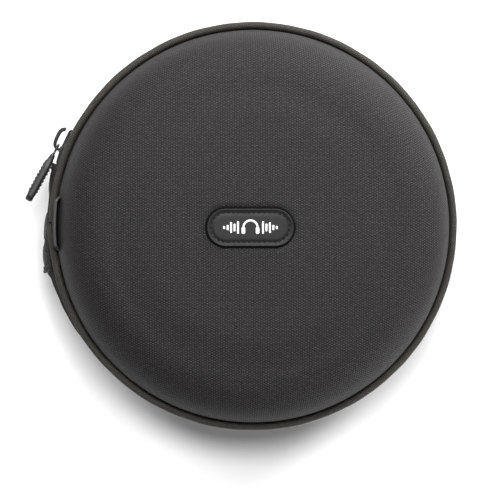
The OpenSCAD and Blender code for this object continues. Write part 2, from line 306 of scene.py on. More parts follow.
def subdivided(loop, step):
    """The closed loop, with points added wherever two are more than about a step apart."""
    dense = []
    for p, q in zip(loop, np.roll(loop, -1, 0)):
        parts = max(1, int(np.linalg.norm(q - p) / step))
        dense += [p + (q - p) * k / parts for k in range(parts)]
    return np.array(dense)


def inset(loop, distance, tiny=1e-9):
    """The counter-clockwise loop drawn in by distance."""
    ahead, behind = np.roll(loop, -1, 0) - loop, loop - np.roll(loop, 1, 0)
    t = unit(unit(ahead, tiny) + unit(behind, tiny), tiny)
    return loop + distance * np.stack([-t[:, 1], t[:, 0]], -1)


def fillet_profile(low, high, fillet, steps=4):
    """(inset, height) pairs from the low face over the side to the high face, with round edges."""
    turn = [math.radians(90 * k / steps) for k in range(steps + 1)]
    under = [(fillet * (1 - math.sin(a)), low + fillet * (1 - math.cos(a))) for a in turn]
    return under + [(i, high + low - h) for i, h in reversed(under)]


def slab(piece, outline, profile, place):
    """A solid over a flat outline, which the profile's (inset, height) pairs draw in from low to high.

    place(points, height) gives where its points lie. outline is a loop, or a function of the inset.
    """
    draw = outline if callable(outline) else lambda d: inset(outline, d)
    rings = [draw(d) for d, _ in profile]
    points = np.array([place(ring, h) for ring, (_, h) in zip(rings, profile)])
    flat = np.array(rings)
    uv = np.concatenate([flat, flat[:, :1]], 1)
    piece.grid(points, uv, wrap_v=True, caps=True)


STITCH_STEPS = 5
STITCH_SIDES = 6


def stitch(piece, centre, along, out, length, radius, sink=0.35):
    """One stitch: a short thread that rises out of the cloth and dives back in."""
    along, out = unit(np.asarray(along, float)), unit(np.asarray(out, float))
    u = np.linspace(-1, 1, STITCH_STEPS)
    path = np.asarray(centre) + along * (u * length / 2)[:, None] - out * (sink * u ** 4)[:, None]
    fat = radius * (1 - 0.35 * u ** 4)
    section = circle(1, STITCH_SIDES)[None] * fat[:, None, None]
    tube(piece, path, section, out)


def ring_stitches(piece, from_a, to_a, seam, place):
    """Stitches round the case, of the seam's pitch, length and thread radius.

    place(angle) gives the cloth's radius, rel and lean, which is counted from outwards to up.
    """
    pitch, length, radius = seam
    count = max(1, int(math.radians(to_a - from_a) * RING_R / pitch))
    for k in range(count):
        a = from_a + (to_a - from_a) * (k + 0.5) / count
        r, rel, lean = place(a)
        t = math.radians(a)
        outward = np.array([math.cos(t) * math.cos(lean), math.sin(t) * math.cos(lean), math.sin(lean)])
        stitch(piece, polar(r, a, rel), (-math.sin(t), math.cos(t), 0), outward, length, radius)


def flip_to_half(piece, lid):
    """Moves points that were laid down with rel heights into the lid or the base."""
    piece.points = [in_half(p, lid) for p in piece.points]


# ---------- materials ----------

class Graph:
    """Builds a material's nodes. A value may be a number, a colour or another node's output."""

    def __init__(self, name):
        self.material = bpy.data.materials.new(name)
        self.material.use_nodes = True
        self.tree = self.material.node_tree
        self.shader = self.tree.nodes["Principled BSDF"]

    def node(self, kind, inputs=None, **settings):
        made = self.tree.nodes.new("ShaderNode" + kind)
        for key, value in settings.items():
            setattr(made, key, value)
        for key, value in (inputs or {}).items():
            self.plug(made.inputs[key], value)
        return made

    def plug(self, socket, value):
        if isinstance(value, bpy.types.NodeSocket):
            self.tree.links.new(value, socket)
        else:
            socket.default_value = value

    def math(self, operation, a, b=0.0, c=0.0):
        return self.node("Math", {0: a, 1: b, 2: c}, operation=operation).outputs[0]

    def times(self, a, b):
        return self.math("MULTIPLY", a, b)

    def over(self, a, b):
        return self.math("DIVIDE", a, b)

    def mix(self, factor, a, b):
        return self.node("Mix", {"Factor": factor, "A": a, "B": b}, data_type="RGBA").outputs["Result"]

    def shaded(self, colour, factor):
        """The colour times a factor that may vary over the surface."""
        return self.node("VectorMath", {0: colour[:3], "Scale": factor}, operation="SCALE").outputs[0]

    def cloth(self):
        """The cloth's own two directions, in mm."""
        return self.node("SeparateXYZ", {0: self.node("UVMap", uv_map="cloth").outputs[0]}).outputs[:2]

    def noise(self, scale, detail=3.0, roughness=0.6):
        """Noise over the surface in the object's own space; scale is in features per metre."""
        settings = {"Scale": scale, "Detail": detail, "Roughness": roughness}
        place = self.node("TexCoord").outputs["Object"]
        return self.node("TexNoise", {"Vector": place, **settings}).outputs["Fac"]

    def cell_noise(self, a, b):
        """A different random value in each whole-number cell of (a, b)."""
        floors = {0: self.math("FLOOR", a), 1: self.math("FLOOR", b)}
        cell = self.node("CombineXYZ", floors).outputs[0]
        return self.node("TexWhiteNoise", {"Vector": cell}, noise_dimensions="2D").outputs["Value"]

    def spread(self, value, low, high):
        """Maps 0..1 to low..high."""
        return self.math("MULTIPLY_ADD", value, high - low, low)

    def mottle(self, scale, low, high, detail=3.0):
        """Noise from low to high."""
        return self.spread(self.noise(scale, detail), low, high)

    def edges(self, sharpness):
        """1 along the edges that stand out more than sharpness, and 0 elsewhere."""
        return self.math("GREATER_THAN", self.node("NewGeometry").outputs["Pointiness"], sharpness)

    def bump(self, height, depth_mm, normal=None):
        made = self.node("Bump", {"Height": height, "Distance": depth_mm * MM})
        if normal is not None:
            self.plug(made.inputs["Normal"], normal)
        return made.outputs[0]

    def finish(self, colour, shade=None, **values):
        """The material, in this colour or in this colour times a shade."""
        if shade is not None:
            colour = self.shaded(colour, shade)
        self.plug(self.shader.inputs["Base Color"], colour)
        for key, value in values.items():
            self.plug(self.shader.inputs[key.replace("_", " ")], value)
        return self.material


def grey(value, warmth=0.0, coolness=0.0):
    """A grey, with red added by warmth and blue taken away by it or given back by coolness."""
    return (value * (1 + warmth), value, value * (1 - warmth + coolness), 1.0)


def rounded_yarn(g, x):
    """0 at a yarn's edges and 1 along its middle, where x counts yarns."""
    return g.math("SINE", g.times(g.math("FRACT", x), math.pi))


def plain_weave(g, u, v, pitch_u, pitch_v):
    """Height of a plain weave from 0 to 1, and a random value for each crossing."""
    a, b = g.over(u, pitch_u), g.over(v, pitch_v)
    odd = g.math("FLOORED_MODULO", g.math("ADD", g.math("FLOOR", a), g.math("FLOOR", b)), 2.0)
    side, along = rounded_yarn(g, a), rounded_yarn(g, b)
    lift = g.times(g.math("POWER", side, 0.8), g.math("POWER", along, 0.8))
    dip = g.times(g.math("POWER", along, 0.6), g.spread(side, 0.10, 0.30))
    even = g.math("SUBTRACT", 1.0, odd)
    height = g.math("ADD", g.times(even, lift), g.times(odd, dip))
    return height, g.cell_noise(a, b)


def woven_nylon(g, base, pitch_u=1.37, pitch_v=0.755):
    """Ballistic nylon: fat filament yarns in a plain weave, whose raised crossings are painted lighter and
    whose dips are painted darker, as painted highlight and painted shade.
    """
    u, v = g.cloth()
    wander = g.math("MULTIPLY_ADD", g.noise(60.0, 2.0), 0.9, -0.45)
    height, fleck = plain_weave(g, g.math("ADD", u, wander), v, pitch_u, pitch_v)
    # Painted light: the colour follows the weave's height, lighter on the raised crossings and darker in the
    # dips; the flecks and the slow mottle are tone that differs at random.
    lit = g.spread(height, 0.72, 1.50)
    flecks_and_painted_weave_light = g.times(lit, g.spread(g.math("POWER", fleck, 4.0), 0.90, 1.45))
    wear_and_painted_weave_light = g.times(flecks_and_painted_weave_light, g.mottle(22.0, 0.90, 1.10, 4.0))
    return g.finish(base, wear_and_painted_weave_light, Roughness=g.spread(height, 0.66, 0.50), Sheen_Weight=0.01,
                    Specular_IOR_Level=g.spread(height, 0.14, 0.44), Sheen_Roughness=0.45,
                    Normal=g.bump(height, 0.16, g.bump(g.noise(900.0, 2.0), 0.02)))


def twill(g, base, pitch, stripe):
    """A herringbone: a diagonal weave that turns back after each stripe."""
    u, v = g.cloth()
    across = g.math("PINGPONG", v, stripe)
    ridge = rounded_yarn(g, g.over(g.math("ADD", u, across), pitch))
    cross = rounded_yarn(g, g.over(g.math("SUBTRACT", u, across), pitch * 0.62))
    height = g.times(g.math("POWER", ridge, 0.7), g.spread(cross, 0.6, 1.0))
    # Painted light: the colour follows the weave's height, lighter on the ridges and darker between them; the
    # mottle is tone that differs at random.
    shade = g.times(g.spread(height, 0.55, 1.45), g.mottle(40.0, 0.88, 1.12, 4.0))
    return g.finish(base, shade, Roughness=g.spread(height, 0.75, 0.55), Specular_IOR_Level=0.35,
                    Sheen_Weight=0.2, Sheen_Roughness=0.4, Normal=g.bump(height, 0.12))


def ribbed_tape(g, base, pitch=0.8, depth=0.1):
    """Grosgrain: ribs across the tape, with fine warp threads between them."""
    u, v = g.cloth()
    rib = g.math("POWER", rounded_yarn(g, g.over(u, pitch)), 0.6)
    warp = rounded_yarn(g, g.over(v, 0.33))
    height = g.times(rib, g.spread(warp, 0.8, 1.0))
    # Painted light: the colour follows the height, lighter on the ribs and darker between them; the mottle is
    # tone that differs at random.
    shade = g.times(g.spread(height, 0.6, 1.35), g.mottle(50.0, 0.9, 1.1))
    return g.finish(base, shade, Roughness=0.62, Sheen_Weight=0.2, Normal=g.bump(height, depth))


def fleece(g, base):
    """Short brushed pile: clumps, loose fibres and a soft sheen."""
    clumps, fibres = g.noise(420.0, 5.0, 0.7), g.noise(2600.0, 2.0)
    height = g.math("MULTIPLY_ADD", fibres, 0.45, clumps)
    # Painted light: the colour follows the clumps, which are also the pile's height, so raised pile is
    # painted lighter and low pile darker; the slow mottle is tone that differs at random.
    shade = g.times(g.spread(clumps, 0.55, 1.45), g.mottle(14.0, 0.86, 1.14))
    return g.finish(base, shade, Roughness=0.95, Specular_IOR_Level=0.2, Sheen_Weight=0.22,
                    Sheen_Roughness=0.6, Normal=g.bump(height, 0.7))


def foam(g, base):
    """Closed-cell foam with fine pores."""
    place = g.node("TexCoord").outputs["Object"]
    cells = g.node("TexVoronoi", {"Vector": place, "Scale": 1500.0}).outputs["Distance"]
    # Painted shade: the colour follows the cells' height, darker down in the pores and lighter on their rims;
    # the mottle is tone that differs at random.
    shade = g.times(g.spread(cells, 0.75, 1.4), g.mottle(30.0, 0.9, 1.1))
    return g.finish(base, shade, Roughness=0.85, Normal=g.bump(cells, 0.15))


def moulded_rubber(g, base, gloss=0.25, rough=0.42):
    """Satin rubber: a fine grain, slightly dusty, paler where its edges rub."""
    rubbed = g.times(g.edges(0.53), g.mottle(260.0, 0.0, 0.9))
    shade = g.times(g.mottle(70.0, 0.82, 1.18, 5.0), g.spread(rubbed, 1.0, 1.5))
    return g.finish(base, shade, Roughness=g.mottle(180.0, rough, rough + 0.2, 4.0),
                    Specular_IOR_Level=gloss, Normal=g.bump(g.noise(2200.0, 2.0), 0.03))


def lacquered_metal(g, base):
    """Black lacquer on zinc, rubbed to bare metal in specks along its edges."""
    wear_and_painted_weave_light = g.times(g.edges(0.545), g.math("GREATER_THAN", g.noise(700.0, 4.0), 0.56))
    bare = g.shaded(grey(0.30), g.mottle(1500.0, 0.7, 1.2))
    paint = g.shaded(base, g.mottle(120.0, 0.75, 1.3, 4.0))
    return g.finish(g.mix(wear_and_painted_weave_light, paint, bare), Metallic=wear_and_painted_weave_light, Specular_IOR_Level=0.22,
                    Roughness=g.mottle(300.0, 0.30, 0.48, 5.0), Normal=g.bump(g.noise(1200.0), 0.012))


def monofilament(g, base):
    """Drawn nylon: smooth, a little glossy, streaked along its length."""
    u, v = g.cloth()
    along = g.node("CombineXYZ", {0: g.times(u, 0.3), 1: v}).outputs[0]
    streak = g.node("TexNoise", {"Vector": along, "Scale": 1.2, "Detail": 3.0}).outputs["Fac"]
    shade = g.times(g.spread(streak, 0.7, 1.3), g.mottle(90.0, 0.85, 1.15))
    return g.finish(base, shade, Roughness=0.33, Coat_Weight=0.15)


def thread(g, base, pitch=0.55):
    """Twisted plies."""
    u, v = g.cloth()
    ply = rounded_yarn(g, g.over(g.math("ADD", u, v), pitch))
    # Painted shade: the colour follows the plies' height, darker in the grooves between them and lighter on
    # their crowns; the mottle is tone that differs at random.
    shade = g.times(g.spread(ply, 0.6, 1.4), g.mottle(400.0, 0.85, 1.15))
    return g.finish(base, shade, Roughness=0.7, Specular_IOR_Level=0.15, Normal=g.bump(ply, 0.08))


def screen_print(g, base):
    """White ink: slightly uneven, with the rubber's grain showing through."""
    grain = g.noise(1800.0, 3.0)
    # Painted shade: the colour follows the grain's height, a little darker in its dips; the slow mottle is
    # uneven ink.
    shade = g.times(g.spread(grain, 0.94, 1.03), g.mottle(150.0, 0.96, 1.03))
    return g.finish(base, shade, Roughness=0.55, Normal=g.bump(grain, 0.02))


def floor_paper(g, base):
    """Studio backdrop paper with a faint tooth."""
    shade = g.mottle(8.0, 0.995, 1.005)
    return g.finish(base, shade, Roughness=0.9, Normal=g.bump(g.noise(500.0), 0.02))


LOOKS = (
    ("nylon_cover", woven_nylon, grey(0.0124, 0.11, 0.12)),
    ("eva_foam", foam, grey(0.020)),
    ("fleece_lining", fleece, grey(0.026)),
    ("welt_fabric", woven_nylon, grey(0.029, 0.12), 1.1, 0.8),
    ("welt_cord", thread, grey(0.03, 0.06), 1.6),
    ("binding_tape", ribbed_tape, grey(0.014)),
    ("zip_tape", twill, grey(0.008), 0.8, 2.1),
    ("zip_chain", monofilament, grey(0.030)),
    ("black_metal", lacquered_metal, grey(0.006)),
    ("black_rubber", moulded_rubber, grey(0.008)),
    ("black_thread", thread, grey(0.007)),
    ("white_print", screen_print, grey(0.84)),
    ("satin_rubber", moulded_rubber, grey(0.012), 0.45, 0.36),
    # Near-black matte rubber for the ring round the badge's foot, which is painted shadow.
    ("gasket", moulded_rubber, grey(0.005), 0.05, 0.8),
    ("pocket_net", thread, grey(0.022), 0.8),
    ("pocket_elastic", ribbed_tape, grey(0.018), 1.1, 0.2),
)
MATERIALS = {name: look(Graph(name), *settings) for name, look, *settings in LOOKS}


# ---------- domes ----------

AROUND = 288
POLE_R = 1.2
TUCK = 1.8
TUCK_REACH = 3.5
# The skin drops by DROP from one radius on, and is back on the CAD's arc after another.
DROP, DROP_FROM, DROP_OVER = 1.8, 62, 24
RISE_FROM, RISE_OVER = 90, 26
# The flat that the case stands on is even out to FOOT_R, and so is the skin near the band.
FOOT_R, FOOT_EASE, BAND_EASE = 45, 20, 15


def moulded_drop(r):
    """How far the moulded skin falls below the CAD arcs, which eases the crown into the shoulder."""
    return DROP * (smoothstep((r - DROP_FROM) / DROP_OVER) - smoothstep((r - RISE_FROM) / RISE_OVER))


def dome_outline(depth, sag, crown_steps=48, shoulder_steps=40):
    """(radius, rel) from near the axis to the rim, at a depth below the cover. sag flattens the crown."""
    r, s = CROWN_R - depth, SHOULDER_R - depth
    foot = math.acos((r - sag) / r)
    flat = [(f * r * math.sin(foot), CROWN_CENTRE_REL + r - sag) for f in (0.03, 0.5, 0.97)] if sag else []
    first = foot if sag else math.asin(POLE_R / r)
    crown = first + (CROWN_ANGLE - first) * np.linspace(0, 1, crown_steps) ** (1.0 if sag else 1.5)
    shoulder = np.linspace(CROWN_ANGLE, math.pi / 2, shoulder_steps)[1:]
    points = flat + [(r * math.sin(a), CROWN_CENTRE_REL + r * math.cos(a)) for a in crown]
    points += [(SHOULDER_AT_R + s * math.sin(a), BAND_REL + s * math.cos(a)) for a in shoulder]
    points = np.array(points + [(DOME_R - depth, RIM_REL)])
    points[:, 1] -= moulded_drop(points[:, 0])
    return points


def tuck_in(outline):
    """Draws the dome's edge in just above the piping, which makes the dark seam between them."""
    out = outline.copy()
    near = smoothstep((BAND_REL + TUCK_REACH - out[:, 1]) / TUCK_REACH)
    out[:, 0] -= TUCK * near
    return out


def crown_rel(x, y):
    return CROWN_CENTRE_REL + np.sqrt(CROWN_R ** 2 - x ** 2 - y ** 2)


def waviness(x, y, size):
    """The slight unevenness of a moulded surface."""
    return size * (np.sin(x / 19 + 1) * np.cos(y / 23) + 0.6 * np.sin(x / 11 - y / 13 + 2))


badge_low, badge_high = box_mm("badge")
BADGE_X = (badge_low[0] + badge_high[0]) / 2
BADGE_LEN, BADGE_W = badge_high[0] - badge_low[0], badge_high[1] - badge_low[1]
DIMPLE, DIMPLE_REACH = 0.75, 3.0


def badge_dimple(x, y):
    """How far the cover is pulled down under the badge and close round it."""
    beyond = np.hypot(np.maximum(abs(x - BADGE_X) - (BADGE_LEN - BADGE_W) / 2, 0), y) - BADGE_W / 2
    return DIMPLE * (1 - smoothstep(beyond / DIMPLE_REACH))


def reach_over(outline):
    """Distance from the axis to each point of the outline, measured along it."""
    return outline[0, 0] + loop_lengths(outline)[:-1]


def make_layer(half, name, node, material, outer_d, inner_d, uneven=0.0):
    """One layer of a dome, between two depths below the cover."""
    lid = half == "lid"
    sag = 0 if lid else REST_SAG
    outer = tuck_in(dome_outline(outer_d, sag))
    inner = tuck_in(dome_outline(inner_d, sag, 20, 20))
    reach = np.concatenate([reach_over(outer), reach_over(inner)[::-1]])
    outline = np.concatenate([outer, inner[::-1]])
    angles = np.linspace(0, 360, AROUND, endpoint=False)
    points = polar(outline[:, :1], angles[None], outline[:, 1:])
    x, y = points[..., 0], points[..., 1]
    off_foot = 1.0 if lid else smoothstep((np.hypot(x, y) - FOOT_R) / FOOT_EASE)
    above_band = smoothstep((points[..., 2] - BAND_REL) / BAND_EASE)
    points[..., 2] += waviness(x, y, uneven) * off_foot * above_band
    if node == "cover" and lid:
        points[:len(outer), :, 2] -= badge_dimple(x, y)[:len(outer)]
    uv = reach[:, None, None] * on_circle(1, np.radians(np.append(angles, 0)))
    piece = Piece()
    piece.grid(in_half(points, lid), uv, wrap_v=True, caps=True)
    piece.make(half + "_" + name, material, half, half + "_" + node)


for half, _ in HALVES:
    make_layer(half, "cover_fabric", "cover", "nylon_cover", 0, COVER_T, 0.05)
    make_layer(half, "foam_shell", "shell", "eva_foam", SHELL_D, LINING_D - LAYER_GAP)
    make_layer(half, "fleece_lining", "lining", "fleece_lining", LINING_D, INSIDE_D)


# ---------- piping, its cord and the rim bindings ----------

PIPING_JOINT_AT = 179.0
PIPING_JOINT_HALF = 0.35
PIPING_STEPS = 900
PIPING_WRAP_T = 0.65
LOWER_END_OUT, LOWER_END_ANGLE = 1.3, 9
UPPER_END_OUT, UPPER_END_ANGLE = -0.5, 4
PIPING_OUT = 0.5


def piping_path(angles, _rel=0.0):
    """How far out and up the piping wanders, most of all near its two ends at the hinge."""
    past_joint = (angles - PIPING_JOINT_AT) % 360
    lower_end = LOWER_END_OUT * (1 - smoothstep(past_joint / LOWER_END_ANGLE))
    upper_end = UPPER_END_OUT * (1 - smoothstep((360 - past_joint) / UPPER_END_ANGLE))
    wobble = 0.07 * np.sin(np.radians(angles * 17)) + 0.05 * np.sin(np.radians(angles * 41 + 20))
    return PIPING_OUT + lower_end + upper_end + wobble, 0.05 * np.sin(np.radians(angles * 29))


def cord_section(turn):
    """Three twisted strands, seen end on."""
    a = turns(18)
    r = (PIPING_R - PIPING_WRAP_T - 0.06) * (0.9 + 0.1 * np.abs(np.cos(1.5 * (a + turn))))
    return on_circle(r, a)


def make_piping(half, lid):
    start, end = PIPING_JOINT_AT + PIPING_JOINT_HALF, PIPING_JOINT_AT + 360 - PIPING_JOINT_HALF
    skin = Piece()
    section = circle(PIPING_R, 28) + (RING_R, BAND_REL)
    ring_sweep(skin, start, end, PIPING_STEPS, section, lid, piping_path)
    skin.make(half + "_piping_welt", "welt_fabric", half, half + "_piping")
    angles = np.linspace(start - 0.25, end + 0.25, PIPING_STEPS)
    out, up = piping_path(angles)
    path = in_half(polar(RING_R + out, angles, BAND_REL + up), lid)
    strands = np.array([cord_section(math.radians(k * 24)) for k in range(PIPING_STEPS)])
    cord = Piece()
    tube(cord, path, strands, (0, 0, 1))
    cord.make(half + "_piping_cord_twisted", "welt_cord", half, half + "_piping_cord")


BINDING_T = 0.75
BINDING_LEG = 4.6
BINDING_SEAM = (3.4, 2.5, 0.22)
TACK_SEAM = (2.4, 1.5, 0.24)


def make_binding(half, lid):
    """A ribbed tape folded over the layers' edges, with a row of stitches on its inner leg."""
    outer_r = box_mm(half + "_binding")[1][0]
    top = RIM_REL - LAYER_GAP
    inner_r = DOME_R - INSIDE_D - TUCK - 0.15
    loop = np.array([
        (outer_r, top - 0.1), (outer_r - 0.15, top), (inner_r + 0.12, top), (inner_r + 0.08, top + 0.3),
        (inner_r + 0.08, top + BINDING_LEG - 0.2), (inner_r - 0.15, top + BINDING_LEG),
        (inner_r - 0.55, top + BINDING_LEG - 0.2), (inner_r - 0.7, top + 0.2),
        (inner_r - 0.45, top - BINDING_T + 0.25), (inner_r + 0.1, top - BINDING_T),
        (outer_r - 0.15, top - BINDING_T), (outer_r, top - BINDING_T + 0.15),
    ])
    tape = Piece()
    ring_sweep(tape, 0, 360, 361, loop, lid)
    tape.make(half + "_rim_binding", "binding_tape", half, half + "_binding", sharp=35)
    seam = Piece()
    ring_stitches(seam, 0, 360, BINDING_SEAM, lambda a: (inner_r - 0.72, top + 3.2, math.pi))
    flip_to_half(seam, lid)
    seam.make(half + "_binding_stitches", "black_thread", half)


for half, lid in HALVES:
    make_piping(half, lid)
    make_binding(half, lid)

# The upper run of the lid's piping is sewn down beside its end.
tack = Piece()
ring_stitches(tack, 173.6, 178.3, TACK_SEAM,
              lambda a: (RING_R + 0.75, BAND_REL + 0.97 * PIPING_R, math.radians(70)))
flip_to_half(tack, True)
tack.make("lid_piping_tack_stitches", "black_thread", "lid")


# ---------- zip ----------

COIL_PITCH = 2.1
COIL_TURN_STEPS = 14
FILAMENT_R = 0.42
TAPE_FLANGE = 2.6
# How far the tape stands out at these polar angles, and the share of it at these heights.
FLARE_AT = (-169.0, -167.2, -165.6, -154.5, -145.0, -125.0, 147.0, 151.0, 155.5, 158.5, 162.0, 164.0)
FLARE = (3.5, 6.0, 4.6, 3.2, 2.1, 0.0, 0.0, 1.2, 1.8, 3.9, 3.6, 1.0)
FLARE_REL = (6.2, 6.8, 7.4, 8.0, 8.6, 9.2, 9.7)
FLARE_SHARE = (0.0, 0.3, 0.75, 1.0, 0.95, 0.55, 0.0)
TAPE_UNDER_PANEL = 1.4
TAPE_SEAM, TAPE_SEAM_REL = (3.1, 2.3, 0.24), 7.4
CHAIN_SEAM, CHAIN_SEAM_REL = (COIL_PITCH, 1.5, 0.16), 2.7


def tape_out(angles, rel):
    """The tape ripples, and near the hinge it stands out in a fold between the chain and the piping."""
    ripple = 0.10 * np.sin(np.radians(angles * 23)) + 0.06 * np.sin(np.radians(angles * 57 + 40))
    return ripple + np.interp(angles, FLARE_AT, FLARE) * np.interp(rel, FLARE_REL, FLARE_SHARE)


def make_tape(half, lid):
    """The woven tape: upright beside the chain, then folded in under the piping."""
    r0, r1, top = TAPE_R0, TAPE_R1, TAPE_REL1
    heights = [TAPE_REL0 + 0.15, 3.2, 5.4, *FLARE_REL[:-1]]
    outer = [(r1, rel) for rel in heights] + [(r1 - 0.1, top - 0.15), (r1 - 0.35, top)]
    fold = [(r0 - TAPE_FLANGE, top), (r0 - TAPE_FLANGE, top - 0.35), (r0 - 0.25, top - 0.4)]
    inner = [(r0, rel) for rel in heights[::-1]] + [(r0 + 0.3, TAPE_REL0)]
    loop = np.array(outer + fold + inner)
    tape = Piece()
    start, end = HINGE_TO - 360 - TAPE_UNDER_PANEL, HINGE_FROM + TAPE_UNDER_PANEL
    ring_sweep(tape, start, end, 640, loop, lid, lambda a, rel: (tape_out(a, rel), 0.0))
    tape.make(half + "_tape_woven", "zip_tape", half, half + "_zip_tape", sharp=35)
    seam = Piece()
    ring_stitches(seam, ZIP_FROM, ZIP_TO, TAPE_SEAM,
                  lambda a: (r1 + 0.12 + tape_out(a, TAPE_SEAM_REL), TAPE_SEAM_REL, 0.0))
    ring_stitches(seam, ZIP_FROM, ZIP_TO, CHAIN_SEAM, lambda a: (CHAIN_R1 - 0.12, CHAIN_SEAM_REL, 0.0))
    flip_to_half(seam, lid)
    seam.make(half + "_zip_stitches", "black_thread", half)


def make_coil(half, lid):
    """One nylon filament, wound into flattened loops whose heads reach between the other half's."""
    count = int(math.radians(ZIP_TO - ZIP_FROM) * CHAIN_R0 / COIL_PITCH)
    t = np.arange(count * COIL_TURN_STEPS) / COIL_TURN_STEPS
    phase = 0.0 if lid else 0.5
    angles = ZIP_FROM + (t + phase) * COIL_PITCH / CHAIN_R0 * 180 / math.pi
    keep = angles < ZIP_TO
    t, angles = t[keep], angles[keep]
    head_rel, back_rel = -0.55, CHAIN_REL1 - FILAMENT_R
    radius = (CHAIN_R0 + CHAIN_R1) / 2 + (CHAIN_R1 - CHAIN_R0 - 2 * FILAMENT_R) / 2 * np.sin(TAU * t)
    rel = (head_rel + back_rel) / 2 - (back_rel - head_rel) / 2 * np.cos(TAU * t)
    path = in_half(polar(radius, angles, rel), lid)
    a = np.radians(angles)
    around = np.stack([-np.sin(a), np.cos(a), np.zeros_like(a)], -1)
    coil = Piece()
    tube(coil, path, circle(FILAMENT_R, 7), around)
    coil.make(half + "_coil_wound", "zip_chain", half, half + "_zip_coil")


STOP_REL, STOP_W, STOP_T = 2.2, 3.4, 2.0


def make_stops(half, lid):
    """Bent metal clips that close both ends of the chain."""
    stops = Piece()
    for a in (ZIP_FROM - STOP_ANGLE - 0.05, ZIP_TO + 0.05):
        mid, half_len = a + STOP_ANGLE / 2, math.radians(STOP_ANGLE) * CHAIN_R1 / 2

        def place(ring, h, mid=mid):
            spot = polar(CHAIN_R0 + h, mid + np.degrees(ring[:, 0] / CHAIN_R1), ring[:, 1] + STOP_REL)
            return in_half(spot, lid)

        slab(stops, rounded_rect(2 * half_len, STOP_W, 0.7), fillet_profile(0, STOP_T, 0.45), place)
    stops.make(half + "_stop_clips", "black_metal", half, half + "_zip_stops")


for half, lid in HALVES:
    make_tape(half, lid)
    make_coil(half, lid)
    make_stops(half, lid)


# ---------- slider and crown ----------

UNDER_R0, UNDER_R1 = TAPE_R0 - 1.8, TAPE_R0 - 0.4
OVER_R0, OVER_R1 = CHAIN_R1 + 0.3, CHAIN_R1 + 1.8
PLATE_HALF_W = 6.2


def on_slider(t, radius, rel):
    """Places (t, radius, rel) on the cylinder round the case, t being an arc towards the hinge."""
    spot = polar(radius, SLIDER_AT + np.degrees(np.asarray(t) / CHAIN_R1), rel)
    return in_half(spot, True)


def flat_on_slider(ring, h):
    """Places flat points (t, rel) at the radius h."""
    return on_slider(ring[:, 0], h, ring[:, 1])


def slider_half_w(t, widest):
    """Wide where the two chains come in, at +t, and narrower where they leave, closed."""
    return widest * (0.78 + 0.22 * smoothstep((t + SLIDER_LEN / 2) / SLIDER_LEN))


def slider_outline(widest):
    loop = oval(SLIDER_LEN / 2, 1.0, 56, 3.4)
    loop[:, 1] *= slider_half_w(loop[:, 0], widest)
    return loop


def make_slider():
    body = Piece()
    wide = slider_outline(PLATE_HALF_W)
    narrow = slider_outline(PLATE_HALF_W - 3.2) * (0.86, 1.0)
    for outline, low, high, fillet in ((wide, OVER_R0, OVER_R1, 0.6), (wide, UNDER_R0, UNDER_R1, 0.5),
                                       (narrow, OVER_R1 - 0.3, OVER_R1 + 0.35, 0.3)):
        slab(body, outline, fillet_profile(low, high, fillet), flat_on_slider)
    for side in (-1, 1):
        t = np.linspace(-SLIDER_LEN * 0.40, SLIDER_LEN * 0.42, 24)
        edge = slider_half_w(t, PLATE_HALF_W) - 0.75
        lip = on_slider(t, (CHAIN_R0 + 0.35 + OVER_R0) / 2 + 0.2, side * edge)
        lip_section = oval(0.55, (OVER_R0 - CHAIN_R0 - 0.35) / 2 + 0.3, 14, 3)
        tube(body, lip, lip_section, unit(lip * (1, 1, 0)))
    web = oval(1.7, 0.25, 20, 2.5) + (4.3, 0)
    slab(body, web, fillet_profile(UNDER_R1 - 0.3, OVER_R0 + 0.3, 0.08), flat_on_slider)
    body.make("slider_body_cast", "black_metal", "slider", "slider_body")


ARCH_HALF, ARCH_H, ARCH_POWER = 6.15, 4.95, 3.3
FREE_END_GAP = 2.0


def make_crown():
    """A springy hook: rooted at the hinge side, free at the other, with its tip over the slider."""
    a = np.linspace(0, math.pi, 60)
    t = ARCH_HALF * squared(np.cos(a), ARCH_POWER)
    h = ARCH_H * squared(np.sin(a), ARCH_POWER)
    keep = (t > 0) | (h > FREE_END_GAP)
    t, h = t[keep], h[keep]
    share = np.linspace(0, 1, len(t))
    path = on_slider(t, OVER_R1 + 0.1 + h, 0.0)
    section = np.array([oval(0.85 + 0.35 * k, 1.3, 18, 4) for k in smoothstep(share * 1.3)])
    crown = Piece()
    tube(crown, path, section, (0, 0, 1))
    root = oval(1.9, 2.1, 24, 3) + (5.6, 0)
    slab(crown, root, fillet_profile(OVER_R1 + 0.1, OVER_R1 + 1.1, 0.4), flat_on_slider)
    crown.make("slider_crown_hook", "black_metal", "slider", "slider_crown")


make_slider()
make_crown()


# ---------- puller ----------

PULLER_TILT = 4.4
WIRE_R = 0.65
WIRE_HALF_W = 2.25
WIRE_LEN = 9.0
GRIP_FROM, GRIP_LEN, GRIP_W, GRIP_T = 6.2, 31.5, 9.5, 4.2
NECK_LEN = 9
RIB_FROM, RIB_COUNT, RIB_PITCH, RIB_LEN, RIB_H = 14.0, 8, 2.4, 1.3, 0.65


def on_puller(s, out, rel):
    """Places s along the grip, out away from the case and rel across it, in the parked puller's frame."""
    run = math.radians(SLIDER_AT + 90 - PULLER_TILT)
    along = np.array([math.cos(run), math.sin(run), 0])
    outward = np.array([math.sin(run), -math.cos(run), 0])
    s, out, rel = np.broadcast_arrays(np.asarray(s, float), out, rel)
    return PIVOT + s[..., None] * along + out[..., None] * outward + rel[..., None] * np.array([0, 0, 1.0])


